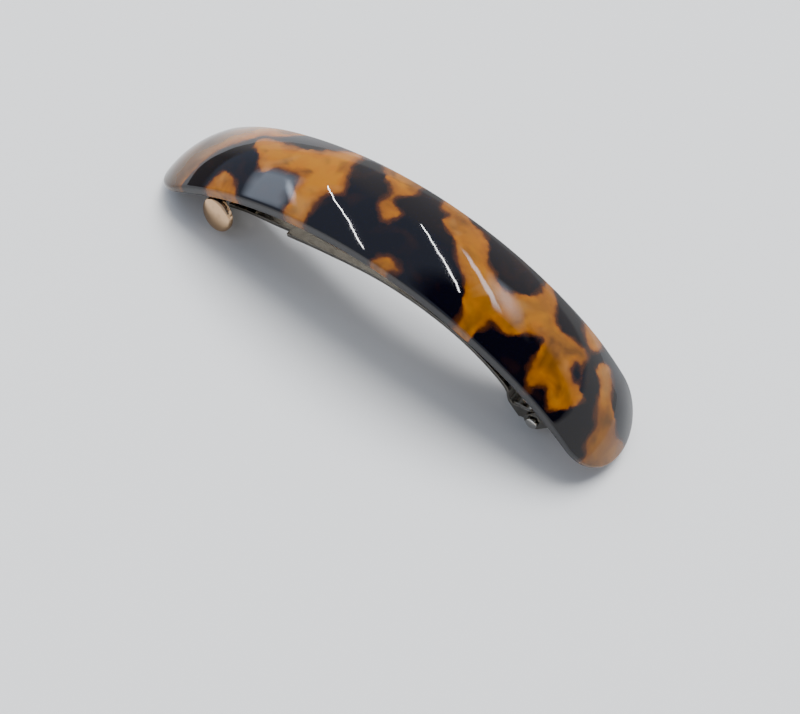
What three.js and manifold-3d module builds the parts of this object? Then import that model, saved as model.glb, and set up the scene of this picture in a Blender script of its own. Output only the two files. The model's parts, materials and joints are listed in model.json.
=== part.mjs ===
// A curved hair barrette: a polished acetate bar on a sprung steel clip.
// X runs along the bar from the catch end (-X) to the hinge end (+X), Y runs across it, +Z is up.
// Places along the clip are given as a length of arc on the bar's underside and a depth below it.

import * as THREE from 'three';
import { mergeVertices } from 'three/addons/utils/BufferGeometryUtils.js';
import Module from 'manifold-3d';

const wasm = await Module();
wasm.setup();

// Driving dimensions, in millimetres

// Acetate bar
const barChord = 100;           // straight length between the tips of the underside
const barRise = 20.2;           // height of the arch above its tips
const barWidth = 19.6;
const wallAtMiddle = 2.4;       // height of the side wall halfway along
const wallAtTips = 1.3;
const wallTaperLength = 22;     // the wall gets lower over this length at each tip
const crownHeight = 1.95;       // top of the crown above the side wall
const lowerEdgeRadius = 0.4;
const upperEdgeRadius = 0.6;

// Clearances
const fixedGap = 0.3;           // between pieces that are fastened together
const pinGap = 0.3;             // round a pin or shank in its hole
const movingGap = 0.4;          // between pieces that move past each other

// Base plate, riveted under the bar
const plateThickness = 0.8;
const plateWidth = 8;
const plateCatchEnd = -44.6;    // arc length of its end
const plateOverhang = 2.2;      // past the hinge pin
const earThickness = 0.6;
const earLength = 4.2;          // along the arc, where an ear leaves the plate
const earWall = 0.7;            // of metal round the pin hole

// Rivets
const rivetRadius = 0.8;
const rivetHeadRadius = 1.5;
const rivetDepthInBar = 1.6;
const rivetInset = 13.8;        // along the arc from each end of the plate to the rivet in the bar
const headHeight = 0.5;         // of the heads of the rivets and of the hinge pin
const headRim = 0.2;            // height of a head's straight rim
const headFlatShare = 0.6;      // radius of the flat on a head, as a share of the head's radius

// Hinge
const pinPlace = 41.8;          // arc length of the pin
const pinDepth = 8.8;
const pinRadius = 0.8;
const pinHeadRadius = 1.15;

// Swing arm. Its upper face is given by shares of the way from the tongue's end to the heel, each
// with a depth, and the heel by arc lengths and depths counted from the hinge pin.
const armThickness = 0.8;
const armWidth = 8.4;
const tongueWidth = 6;
const tongueEnd = -44.6;
const tongueLength = 18.6;
const armRoute = [[0, 6.9], [0.084, 7.8], [0.21, 9.6], [0.39, 10], [0.59, 9], [0.8, 8.5], [0.96, 9.1]];
const heelRoute = [[-7.8, 1], [-6.6, 1.9], [-5.2, 2.5], [-1.2, 2.9]];
const cheekThickness = 0.6;
const cheekWall = 0.6;
const windowInset = 1;          // from the tongue's end to the slot that the catch hooks go through
const windowLength = 7.4;
const windowRail = 0.9;

// Tension bar, a bowed leaf between the base plate and the arm. Its upper face is given by shares
// of the way from the hinge pin to its free end, each with a depth, after two points near the pin.
const leafThickness = 0.45;
const leafWidth = 5;
const leafFreeEnd = -34.6;
const leafStart = [[-3.2, -1.7], [-7.8, -2.4]];
const leafRoute = [[0.19, 4.9], [0.31, 3.6], [0.47, 2.6], [0.63, 2.4], [0.81, 3], [0.95, 4.4], [1, 5.2]];
const eyeWall = 0.6;

// Catch, a sprung clasp that is pinched by two finger pads
const catchInset = 4;           // along the arc from the plate's end to the middle of the catch
const catchThickness = 0.5;
const webOverhang = 0.4;        // on each side of the base plate
const webLength = 6;
const wingFlare = 13.4;         // degrees that each wing leans outwards
const wingWidth = 4.6;          // along the arc
const wingDrop = 8;             // length of a wing from its top to its rounded end
const bridgeDepth = 4.8;
const hookLegLength = 3;        // along the arc
const hookLip = 0.35;
const hookLipHeight = 0.5;
const catchRivetHeadRadius = 1.3;

// Finger pads, domed discs riveted to the wings
const padRadius = 3.5;
const padRim = 0.9;
const padChamfer = 0.25;
const padDome = 0.75;
const padDepth = 6.4;           // depth of the middle of each pad
const padStudRadius = 0.9;
const padStudReach = 0.4;       // of the stud past the inner face of the wing

// Sizes that follow from the driving dimensions

const archRadius = (barChord * barChord / 4 + barRise * barRise) / (2 * barRise);
const halfArc = archRadius * Math.asin(barChord / 2 / archRadius);
const barHalfWidth = barWidth / 2;
const plateHingeEnd = pinPlace + plateOverhang;
const plateDepth = fixedGap + plateThickness;
const rivetPlaces = {
  bar_rivet_catch_side: plateCatchEnd + rivetInset,
  bar_rivet_hinge_side: plateHingeEnd - rivetInset
};
const catchPlace = plateCatchEnd + catchInset;
const webTopDepth = plateDepth + fixedGap;
const webBottomDepth = webTopDepth + catchThickness;
const webHalfWidth = plateWidth / 2 + webOverhang;
const flare = THREE.MathUtils.degToRad(wingFlare);
const wingTop = webHalfWidth + movingGap + catchThickness / 2;
const armHalfWidth = armWidth / 2;
const earInner = armHalfWidth + movingGap;
const earOuter = earInner + earThickness;
const earRadius = pinRadius + pinGap + earWall;
const cheekInner = armHalfWidth - cheekThickness;
const cheekRadius = pinRadius + pinGap + cheekWall;
const eyeRadius = pinRadius + pinGap + eyeWall;
const tongueHalfWidth = tongueWidth / 2;
const tongueShoulder = tongueEnd + tongueLength;
const windowHalfWidth = tongueHalfWidth - windowRail;
const hookTip = windowHalfWidth - fixedGap;
const heelPoints = heelRoute.map(([arc, depth]) => [pinPlace + arc, pinDepth + depth]);
const armPoints = [...armRoute.map(([share, depth]) => (
  [THREE.MathUtils.lerp(tongueEnd, heelPoints[0][0], share), depth]
)), heelPoints[0]];
const leafPoints = [
  [pinPlace, pinDepth - eyeRadius],
  ...leafStart.map(([arc, depth]) => [pinPlace + arc, pinDepth + depth]),
  ...leafRoute.map(([share, depth]) => [THREE.MathUtils.lerp(pinPlace, leafFreeEnd, share), depth])
];

// Places on the arch

function archPoint(arc, depth) {
  const angle = arc / archRadius;
  const radius = archRadius - depth;
  return new THREE.Vector2(radius * Math.sin(angle), radius * Math.cos(angle) - archRadius);
}

// Local X runs along the arch, local Y across it and local Z away from the centre of the arch.
function archFrame(arc, depth = 0) {
  const angle = arc / archRadius;
  const point = archPoint(arc, depth);
  const along = new THREE.Vector3(Math.cos(angle), 0, -Math.sin(angle));
  const across = new THREE.Vector3(0, 1, 0);
  const outwards = new THREE.Vector3(Math.sin(angle), 0, Math.cos(angle));
  const frame = new THREE.Matrix4().makeBasis(along, across, outwards);
  return frame.setPosition(point.x, 0, point.y);
}

// Solids and booleans

function toSolid(geometry) {
  const bare = geometry.clone();
  bare.deleteAttribute('normal');
  bare.deleteAttribute('uv');
  const merged = mergeVertices(bare, 1e-5);
  const corners = merged.index.array;
  const kept = [];
  for (let i = 0; i < corners.length; i += 3) {
    const [a, b, c] = [corners[i], corners[i + 1], corners[i + 2]];
    if (a !== b && b !== c && c !== a) {
      kept.push(a, b, c);
    }
  }
  const vertProperties = new Float32Array(merged.attributes.position.array);
  const triVerts = new Uint32Array(kept);
  return new wasm.Manifold(new wasm.Mesh({ numProp: 3, vertProperties, triVerts }));
}

function toGeometry(solid) {
  const mesh = solid.getMesh();
  const geometry = new THREE.BufferGeometry();
  geometry.setAttribute('position', new THREE.BufferAttribute(new Float32Array(mesh.vertProperties), 3));
  geometry.setIndex(new THREE.BufferAttribute(new Uint32Array(mesh.triVerts), 1));
  geometry.computeVertexNormals();
  return geometry;
}

function join(...geometries) {
  return toGeometry(geometries.map(toSolid).reduce((whole, next) => whole.add(next)));
}

function cut(geometry, ...tools) {
  return toGeometry(tools.map(toSolid).reduce((rest, tool) => rest.subtract(tool), toSolid(geometry)));
}

// A side view drawn in X and Z and given a thickness across, between two Y values.
function sideSolid(outline, yLow, yHigh) {
  const shape = Array.isArray(outline) ? new THREE.Shape(outline) : outline;
  const settings = { depth: yHigh - yLow, bevelEnabled: false, curveSegments: 16 };
  const geometry = new THREE.ExtrudeGeometry(shape, settings);
  geometry.rotateX(Math.PI / 2);
  return geometry.translate(0, yHigh, 0);
}

// A section drawn across the bar, in Y and local Z, and given a length along the arch.
function crossSolid(outline, arc, length) {
  const settings = { depth: length, bevelEnabled: false };
  const geometry = new THREE.ExtrudeGeometry(new THREE.Shape(outline), settings);
  const turn = new THREE.Matrix4().set(0, 0, 1, -length / 2, 1, 0, 0, 0, 0, 1, 0, 0, 0, 0, 0, 1);
  return geometry.applyMatrix4(turn).applyMatrix4(archFrame(arc));
}

// A strip that follows points of arc length and depth, with its thickness below them.
function strip(points, thickness, halfWidth) {
  const above = points.map(([arc, depth]) => archPoint(arc, depth));
  const below = points.map(([arc, depth]) => archPoint(arc, depth + thickness)).reverse();
  return sideSolid([...above, ...below], -halfWidth, halfWidth);
}

function concentric(arcStart, arcEnd, depth, steps) {
  const points = [];
  for (let i = 0; i <= steps; i++) {
    points.push([arcStart + (arcEnd - arcStart) * i / steps, depth]);
  }
  return points;
}

function smooth(route, steps) {
  const curve = new THREE.SplineCurve(route.map(([arc, depth]) => new THREE.Vector2(arc, depth)));
  return curve.getPoints(steps).map((point) => [point.x, point.y]);
}

// A shank along local Z, between two depths, as a tool or as part of a rivet.
function shank(arc, radius, depthTop, depthBottom, sides = 24) {
  const geometry = new THREE.CylinderGeometry(radius, radius, depthBottom - depthTop, sides);
  geometry.rotateX(Math.PI / 2);
  geometry.translate(0, 0, -(depthTop + depthBottom) / 2);
  return geometry.applyMatrix4(archFrame(arc));
}

// A cylinder across the bar through a point of the side view.
function crossPin(centre, radius, yLow, yHigh, sides = 24) {
  const geometry = new THREE.CylinderGeometry(radius, radius, yHigh - yLow, sides);
  return geometry.translate(centre.x, (yLow + yHigh) / 2, centre.y);
}

function piece(name, geometry, material) {
  const mesh = new THREE.Mesh(geometry, material);
  mesh.name = name;
  return mesh;
}

function metal(color, roughness) {
  return new THREE.MeshStandardMaterial({ color, roughness, metalness: 1 });
}

// Acetate bar: rings that follow its outline, from the middle of the underside out to the
// edge, up the side wall and in again over the crown.

function outlineRing(inset, heightAt) {
  const capSteps = 14;
  const sideSteps = 24;
  const reach = halfArc - barHalfWidth;
  const radius = barHalfWidth - inset;
  const ring = [];
  const add = (arc, y) => {
    const height = heightAt(Math.abs(arc));
    const point = archPoint(arc, -height);
    ring.push(new THREE.Vector3(point.x, y, point.y));
  };
  for (const side of [1, -1]) {
    for (let i = 0; i < capSteps; i++) {
      const angle = Math.PI * (i / capSteps - 0.5);
      add(side * (reach + radius * Math.cos(angle)), side * radius * Math.sin(angle));
    }
    for (let i = 0; i < sideSteps; i++) {
      add(side * reach * (1 - 2 * i / sideSteps), side * radius);
    }
  }
  return ring;
}

function wallHeight(arc) {
  const blend = THREE.MathUtils.smoothstep(arc, halfArc - wallTaperLength, halfArc);
  return THREE.MathUtils.lerp(wallAtMiddle, wallAtTips, blend);
}

function barBlank() {
  const rings = [];
  const edgeSteps = 3;
  const crownSteps = 7;
  for (const share of [1, 0.5]) {
    rings.push(outlineRing(barHalfWidth * share, () => 0));
  }
  for (let i = 0; i <= edgeSteps; i++) {
    const angle = Math.PI / 2 * i / edgeSteps;
    const height = lowerEdgeRadius * (1 - Math.cos(angle));
    rings.push(outlineRing(lowerEdgeRadius * (1 - Math.sin(angle)), () => height));
  }
  for (let i = 0; i <= edgeSteps; i++) {
    const angle = Math.PI / 2 * i / edgeSteps;
    const drop = upperEdgeRadius * (1 - Math.sin(angle));
    rings.push(outlineRing(upperEdgeRadius * (1 - Math.cos(angle)), (arc) => wallHeight(arc) - drop));
  }
  for (let i = 1; i <= crownSteps; i++) {
    const inset = upperEdgeRadius + (barHalfWidth - upperEdgeRadius) * i / crownSteps;
    const share = (barHalfWidth - inset) / (barHalfWidth - upperEdgeRadius);
    rings.push(outlineRing(inset, (arc) => wallHeight(arc) + crownHeight * (1 - share * share)));
  }
  const size = rings[0].length;
  const positions = rings.flat().flatMap((point) => [point.x, point.y, point.z]);
  const faces = [];
  for (let r = 0; r + 1 < rings.length; r++) {
    for (let i = 0; i < size; i++) {
      const next = (i + 1) % size;
      const [a, b] = [r * size + i, r * size + next];
      const [c, d] = [a + size, b + size];
      faces.push(a, b, d, a, d, c);
    }
  }
  const geometry = new THREE.BufferGeometry();
  geometry.setAttribute('position', new THREE.Float32BufferAttribute(positions, 3));
  geometry.setIndex(faces);
  return geometry;
}

function acetateBar() {
  const holes = Object.values(rivetPlaces).map((arc) => (
    shank(arc, rivetRadius + pinGap, -(rivetDepthInBar + fixedGap), 1)
  ));
  return cut(barBlank(), ...holes);
}

// Base plate, with two ears at the hinge end that carry the pin

function ear(side) {
  const frame = archFrame(pinPlace, pinDepth);
  const shape = new THREE.Shape();
  shape.moveTo(-earLength / 2, pinDepth - plateDepth + plateThickness / 2);
  shape.lineTo(-earLength / 2, pinDepth - plateDepth);
  shape.lineTo(-earRadius, earRadius);
  shape.lineTo(-earRadius, 0);
  shape.absarc(0, 0, earRadius, Math.PI, 2 * Math.PI, false);
  shape.lineTo(earRadius, earRadius);
  shape.lineTo(earLength / 2, pinDepth - plateDepth);
  shape.lineTo(earLength / 2, pinDepth - plateDepth + plateThickness / 2);
  const [low, high] = [side * earInner, side * earOuter].sort((a, b) => a - b);
  const geometry = sideSolid(shape, low, high);
  return geometry.applyMatrix4(frame);
}

function basePlate() {
  const plate = strip(concentric(plateCatchEnd, plateHingeEnd, fixedGap, 40), plateThickness, plateWidth / 2);
  const tabPoints = concentric(pinPlace - earLength / 2, pinPlace + earLength / 2, fixedGap, 3);
  const tab = strip(tabPoints, plateThickness, earOuter);
  const whole = join(plate, tab, ear(1), ear(-1));
  const pinHole = crossPin(archPoint(pinPlace, pinDepth), pinRadius + pinGap, -earOuter - 1, earOuter + 1);
  const holes = [...Object.values(rivetPlaces), catchPlace].map((arc) => (
    shank(arc, rivetRadius + pinGap, -1, plateDepth + 1)
  ));
  return cut(whole, pinHole, ...holes);
}

// Rivets

function headedRivet(arc, depthTop, headTop, headRadius) {
  const headBottom = headTop + headHeight;
  const profile = [
    new THREE.Vector2(0, -headBottom),
    new THREE.Vector2(headRadius * headFlatShare, -headBottom),
    new THREE.Vector2(headRadius, -headTop - headRim),
    new THREE.Vector2(headRadius, -headTop),
    new THREE.Vector2(rivetRadius, -headTop),
    new THREE.Vector2(rivetRadius, -depthTop),
    new THREE.Vector2(0, -depthTop)
  ];
  const geometry = new THREE.LatheGeometry(profile, 24);
  geometry.rotateX(Math.PI / 2);
  return geometry.applyMatrix4(archFrame(arc));
}

// Hinge pin, a headed pin that is turned on a lathe and peened at its far end

function hingePin() {
  const headInner = earOuter + fixedGap;
  const half = headInner + headHeight;
  const profile = [
    new THREE.Vector2(0, -half),
    new THREE.Vector2(pinHeadRadius * headFlatShare, -half),
    new THREE.Vector2(pinHeadRadius, -headInner - headRim),
    new THREE.Vector2(pinHeadRadius, -headInner),
    new THREE.Vector2(pinRadius, -headInner),
    new THREE.Vector2(pinRadius, headInner),
    new THREE.Vector2(pinHeadRadius, headInner),
    new THREE.Vector2(pinHeadRadius, headInner + headRim),
    new THREE.Vector2(pinHeadRadius * headFlatShare, half),
    new THREE.Vector2(0, half)
  ];
  const centre = archPoint(pinPlace, pinDepth);
  return new THREE.LatheGeometry(profile, 24).translate(centre.x, 0, centre.y);
}

// Swing arm: a bowed strip with a slotted tongue at the catch and a stepped heel at the hinge

// A cheek stands on the heel and goes round the pin, from below it to its far side and over it.
function cheek(side) {
  const pin = archPoint(pinPlace, pinDepth);
  const onHeel = heelPoints.slice(2).map(([arc, depth]) => archPoint(arc, depth + armThickness / 2));
  const outline = [...onHeel];
  const steps = 12;
  for (let i = 0; i <= steps; i++) {
    const angle = THREE.MathUtils.degToRad(THREE.MathUtils.lerp(-63, 153, i / steps));
    const spoke = new THREE.Vector2(Math.cos(angle), Math.sin(angle)).multiplyScalar(cheekRadius);
    outline.push(spoke.add(pin));
  }
  const [low, high] = [side * cheekInner, side * armHalfWidth].sort((a, b) => a - b);
  return sideSolid(outline, low, high);
}

function swingArm() {
  const route = smooth(armPoints, 48);
  const split = route.findIndex(([arc]) => arc > tongueShoulder);
  const tongue = strip(route.slice(0, split + 2), armThickness, tongueHalfWidth);
  const arm = strip(route.slice(split), armThickness, armHalfWidth);
  const heel = strip(smooth(heelPoints, 12), armThickness, armHalfWidth);
  const whole = join(tongue, arm, heel, cheek(1), cheek(-1));
  const windowPlace = tongueEnd + windowInset + windowLength / 2;
  const windowTop = -bridgeDepth;
  const windowBottom = -2 * armPoints[0][1];
  const window = crossSolid([
    new THREE.Vector2(-windowHalfWidth, windowBottom),
    new THREE.Vector2(windowHalfWidth, windowBottom),
    new THREE.Vector2(windowHalfWidth, windowTop),
    new THREE.Vector2(-windowHalfWidth, windowTop)
  ], windowPlace, windowLength);
  const pin = archPoint(pinPlace, pinDepth);
  const pinHole = crossPin(pin, pinRadius + pinGap, -armHalfWidth - 1, armHalfWidth + 1);
  return cut(whole, window, pinHole);
}

// Tension bar: a thin leaf that ends in an eye round the hinge pin

function tensionBar() {
  const pin = archPoint(pinPlace, pinDepth);
  const leaf = strip(smooth(leafPoints, 48), leafThickness, leafWidth / 2);
  const eye = crossPin(pin, eyeRadius, -leafWidth / 2, leafWidth / 2);
  const bore = crossPin(pin, pinRadius + pinGap, -leafWidth, leafWidth);
  return cut(join(leaf, eye), bore);
}

// Catch

function catchWeb() {
  const web = crossSolid([
    new THREE.Vector2(-webHalfWidth, -webBottomDepth),
    new THREE.Vector2(webHalfWidth, -webBottomDepth),
    new THREE.Vector2(webHalfWidth, -webTopDepth),
    new THREE.Vector2(-webHalfWidth, -webTopDepth)
  ], catchPlace, webLength);
  return cut(web, shank(catchPlace, rivetRadius + pinGap, webTopDepth - 1, webBottomDepth + 1));
}

// Half the width between the middles of the two wings, at a depth.
function wingPoint(depth) {
  return wingTop + (depth - webTopDepth) * Math.tan(flare);
}

// Local Z leaves the outer face of a wing, local X runs along the arch and local Y runs up the wing.
function wingFrame(side, depth) {
  const up = new THREE.Vector3(0, -side * Math.sin(flare), Math.cos(flare));
  const outwards = new THREE.Vector3(0, side * Math.cos(flare), Math.sin(flare));
  const along = new THREE.Vector3().crossVectors(up, outwards);
  const frame = new THREE.Matrix4().makeBasis(along, up, outwards);
  frame.setPosition(0, side * wingPoint(depth), -depth);
  return archFrame(catchPlace).multiply(frame);
}

function wing(side) {
  const half = wingWidth / 2;
  const shape = new THREE.Shape();
  shape.moveTo(half, 0);
  shape.lineTo(-half, 0);
  shape.lineTo(-half, half - wingDrop);
  shape.absarc(0, half - wingDrop, half, Math.PI, 2 * Math.PI, false);
  const settings = { depth: catchThickness, bevelEnabled: false, curveSegments: 20 };
  const geometry = new THREE.ExtrudeGeometry(shape, settings);
  geometry.translate(0, 0, -catchThickness / 2);
  const hole = new THREE.CylinderGeometry(padStudRadius + pinGap, padStudRadius + pinGap, 2, 24);
  hole.rotateX(Math.PI / 2);
  hole.translate(0, -(padDepth - webTopDepth) / Math.cos(flare), 0);
  return cut(geometry, hole).applyMatrix4(wingFrame(side, webTopDepth));
}

// A bridge and a leg carry the hook inwards and down through the slot of the tongue.
function hookLeg(side) {
  const legInner = hookTip - hookLip - catchThickness;
  const legOuter = hookTip - hookLip;
  const bridgeBottom = bridgeDepth + catchThickness;
  const lipTop = armPoints[1][1] + armThickness + movingGap;
  const outline = [
    [legInner, lipTop + hookLipHeight],
    [legOuter, lipTop + hookLipHeight],
    [hookTip, lipTop],
    [legOuter, lipTop],
    [legOuter, bridgeBottom],
    [wingPoint(bridgeBottom), bridgeBottom],
    [wingPoint(bridgeDepth), bridgeDepth],
    [legInner, bridgeDepth]
  ].map(([y, depth]) => new THREE.Vector2(side * y, -depth));
  return crossSolid(side > 0 ? outline : outline.reverse(), catchPlace, hookLegLength);
}

function lever(side) {
  return join(wing(side), hookLeg(side));
}

// The dome is turned about the pad's axis, and a stud on its back goes through the wing.
function fingerPad(side) {
  const back = catchThickness / 2 + fixedGap;
  const shoulder = back + padRim;
  const studEnd = -catchThickness / 2 - padStudReach;
  const profile = [
    new THREE.Vector2(0, studEnd),
    new THREE.Vector2(padStudRadius, studEnd),
    new THREE.Vector2(padStudRadius, back),
    new THREE.Vector2(padRadius - padChamfer, back),
    new THREE.Vector2(padRadius, back + padChamfer),
    new THREE.Vector2(padRadius, shoulder - padChamfer)
  ];
  const domeSteps = 6;
  for (let i = 0; i < domeSteps; i++) {
    const angle = Math.PI / 2 * i / domeSteps;
    const radius = (padRadius - padChamfer / 2) * Math.cos(angle);
    profile.push(new THREE.Vector2(radius, shoulder + padDome * Math.sin(angle)));
  }
  profile.push(new THREE.Vector2(0, shoulder + padDome));
  const geometry = new THREE.LatheGeometry(profile, 32);
  geometry.rotateX(Math.PI / 2);
  return geometry.applyMatrix4(wingFrame(side, padDepth));
}

// The assembly

const acetate = new THREE.MeshStandardMaterial({ color: 0x3a2412, roughness: 0.12, metalness: 0 });
const nickel = metal(0x8d8a84, 0.22);
const gold = metal(0xd9b98c, 0.25);

const clip = new THREE.Group();
clip.add(piece('acetate_bar', acetateBar(), acetate));
clip.add(piece('base_plate', basePlate(), nickel.clone()));
for (const [name, arc] of Object.entries(rivetPlaces)) {
  clip.add(piece(name, headedRivet(arc, -rivetDepthInBar, webTopDepth, rivetHeadRadius), nickel.clone()));
}
clip.add(piece('catch_web', catchWeb(), nickel.clone()));
const catchRivet = headedRivet(catchPlace, fixedGap, webBottomDepth + fixedGap, catchRivetHeadRadius);
clip.add(piece('catch_rivet', catchRivet, nickel.clone()));
for (const [word, side] of [['near', -1], ['far', 1]]) {
  clip.add(piece(`catch_lever_${word}`, lever(side), nickel.clone()));
  clip.add(piece(`finger_pad_${word}`, fingerPad(side), gold.clone()));
}
clip.add(piece('hinge_pin', hingePin(), nickel.clone()));
clip.add(piece('swing_arm', swingArm(), nickel.clone()));
clip.add(piece('tension_bar', tensionBar(), nickel.clone()));

// The barrette rests on the arm's heel and on the tip at the catch end, so it leans a little.
const [heelArc, heelDepth] = heelPoints.at(-1);
const heelPoint = archPoint(heelArc, heelDepth + armThickness);
const tipPoint = archPoint(-halfArc, 0);
clip.rotation.y = -Math.atan2(tipPoint.y - heelPoint.y, heelPoint.x - tipPoint.x);

const barrette = new THREE.Group();
barrette.add(clip);
barrette.updateMatrixWorld(true);
const box = new THREE.Box3().setFromObject(barrette, true);
const middle = box.getCenter(new THREE.Vector3());
barrette.position.set(-middle.x, 0, -box.min.z);

export default barrette;
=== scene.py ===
import json
import math

import bmesh
import bpy
import numpy as np
from mathutils import Matrix, Vector


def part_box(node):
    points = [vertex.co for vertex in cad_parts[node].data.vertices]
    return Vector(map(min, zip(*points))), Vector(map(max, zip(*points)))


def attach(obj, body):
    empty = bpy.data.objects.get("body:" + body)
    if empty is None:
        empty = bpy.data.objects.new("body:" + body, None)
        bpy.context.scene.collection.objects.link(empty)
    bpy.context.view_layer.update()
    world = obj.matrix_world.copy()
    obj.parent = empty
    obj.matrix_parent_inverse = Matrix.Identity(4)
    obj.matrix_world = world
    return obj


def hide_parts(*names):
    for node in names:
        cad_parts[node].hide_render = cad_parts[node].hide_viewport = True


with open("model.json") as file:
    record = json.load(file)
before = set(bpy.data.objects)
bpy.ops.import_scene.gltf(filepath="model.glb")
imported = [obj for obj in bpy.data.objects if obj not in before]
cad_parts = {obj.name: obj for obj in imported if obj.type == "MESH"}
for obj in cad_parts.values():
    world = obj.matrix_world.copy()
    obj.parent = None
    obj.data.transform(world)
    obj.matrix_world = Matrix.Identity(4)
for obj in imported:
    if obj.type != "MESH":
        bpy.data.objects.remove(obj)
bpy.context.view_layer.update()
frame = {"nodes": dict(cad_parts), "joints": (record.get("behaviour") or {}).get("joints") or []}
mm = 0.001

# Camera

view = {
    "aim": (10.7 * mm, -15.4 * mm, 12 * mm),
    "azimuth": 20.14,  # degrees
    "elevation": 56.88,
    "roll": 17.35,
    "distance": 241.3 * mm,
    "lens": 63,
    "clipStart": 10 * mm,
}


def addCamera():
    azimuth = math.radians(view["azimuth"])
    elevation = math.radians(view["elevation"])
    flat = math.cos(elevation)
    back = Vector((math.sin(azimuth) * flat, -math.cos(azimuth) * flat, math.sin(elevation)))
    turn = back.to_track_quat("Z", "Y").to_matrix().to_4x4()
    roll = Matrix.Rotation(math.radians(view["roll"]), 4, "Z")
    place = Matrix.Translation(Vector(view["aim"]) + back * view["distance"])
    lens = bpy.data.cameras.new("camera")
    lens.lens = view["lens"]
    lens.clip_start = view["clipStart"]
    camera = bpy.data.objects.new("camera", lens)
    camera.matrix_world = place @ turn @ roll
    bpy.context.scene.collection.objects.link(camera)
    bpy.context.scene.camera = camera


addCamera()
print("camera ready")

# Places on the arch. An arc length runs along the bar's underside and a depth goes down from it.

arch = {
    "chord": 100 * mm,  # between the tips of the underside
    "rise": 20.2 * mm,
    "pinArc": 41.8 * mm,
    "pinDepth": 8.8 * mm,
    "catchArc": -40.6 * mm,
}
archRadius = (arch["chord"] ** 2 / 4 + arch["rise"] ** 2) / (2 * arch["rise"])
halfArc = archRadius * math.asin(arch["chord"] / 2 / archRadius)
joints = {joint["name"]: joint for joint in frame["joints"]}
catchAxis = Vector(joints["near_pad_pinch"]["axis"])
lean = math.atan2(catchAxis.z, catchAxis.x) + arch["catchArc"] / archRadius
leanTurn = Matrix.Rotation(-lean, 4, "Y")


def archPoint(arc, depth):
    angle = arc / archRadius
    radius = archRadius - depth
    return Vector((radius * math.sin(angle), 0, radius * math.cos(angle) - archRadius))


def centreOf(node):
    low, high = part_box(node)
    return (low + high) / 2


archOffset = centreOf("hinge_pin") - leanTurn @ archPoint(arch["pinArc"], arch["pinDepth"])


# Local X runs along the arch, local Y across it and local Z out of it.
def archFrame(arc, depth=0.0):
    place = Matrix.Translation(archOffset + leanTurn @ archPoint(arc, depth))
    return place @ Matrix.Rotation(arc / archRadius - lean, 4, "Y")


# Mesh helpers

weldGap = 0.001 * mm


def newObject(name, mesh):
    obj = bpy.data.objects.new(name, mesh)
    bpy.context.scene.collection.objects.link(obj)
    return obj


def finishPiece(obj, body, nodes):
    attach(obj, body)
    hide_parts(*nodes)


def roundOver(centre, radius, start, end, steps=4):
    points = []
    for step in range(steps + 1):
        angle = math.radians(start + (end - start) * step / steps)
        points.append((centre[0] + radius * math.cos(angle), centre[1] + radius * math.sin(angle)))
    return points


def dome(radius, base, height, steps):
    points = []
    for step in range(steps):
        angle = math.pi / 2 * step / steps
        points.append((radius * math.cos(angle), base + height * math.sin(angle)))
    return points + [(0, base + height)]


# A profile of radius and height, turned about Z. It starts and ends on the axis.
def lathe(name, profile, sides):
    bm = bmesh.new()
    rings = []
    for radius, height in profile:
        count = sides if radius > 0 else 1
        angles = [2 * math.pi * k / count for k in range(count)]
        rings.append([bm.verts.new((radius * math.cos(a), radius * math.sin(a), height)) for a in angles])
    for lower, upper in zip(rings, rings[1:]):
        for k in range(sides):
            corners = [lower[k % len(lower)], lower[(k + 1) % len(lower)]]
            corners += [upper[(k + 1) % len(upper)], upper[k % len(upper)]]
            bm.faces.new(list(dict.fromkeys(corners)))
    mesh = bpy.data.meshes.new(name)
    bm.to_mesh(mesh)
    bm.free()
    mesh.shade_smooth()
    return mesh


# Geometry Nodes helpers

def link(tree, output, target):
    tree.links.new(output, target)


def newTree(name, inputs):
    tree = bpy.data.node_groups.new(name, "GeometryNodeTree")
    tree.interface.new_socket(name="Geometry", in_out="INPUT", socket_type="NodeSocketGeometry")
    for label, kind in inputs.items():
        tree.interface.new_socket(name=label, in_out="INPUT", socket_type=kind)
    tree.interface.new_socket(name="Geometry", in_out="OUTPUT", socket_type="NodeSocketGeometry")
    return tree, tree.nodes.new("NodeGroupInput"), tree.nodes.new("NodeGroupOutput")


def mathNode(tree, operation, first, second=None):
    node = tree.nodes.new("ShaderNodeMath")
    node.operation = operation
    for socket, value in zip(node.inputs, (first, second)):
        if isinstance(value, (int, float)):
            socket.default_value = value
        elif value is not None:
            link(tree, value, socket)
    return node.outputs[0]


archInputs = {
    "Arch Radius": "NodeSocketFloat",
    "Lean": "NodeSocketFloat",
    "Offset": "NodeSocketVector",
    "Material": "NodeSocketMaterial",
}
archValues = {"Arch Radius": archRadius, "Lean": lean, "Offset": tuple(archOffset)}


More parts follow.
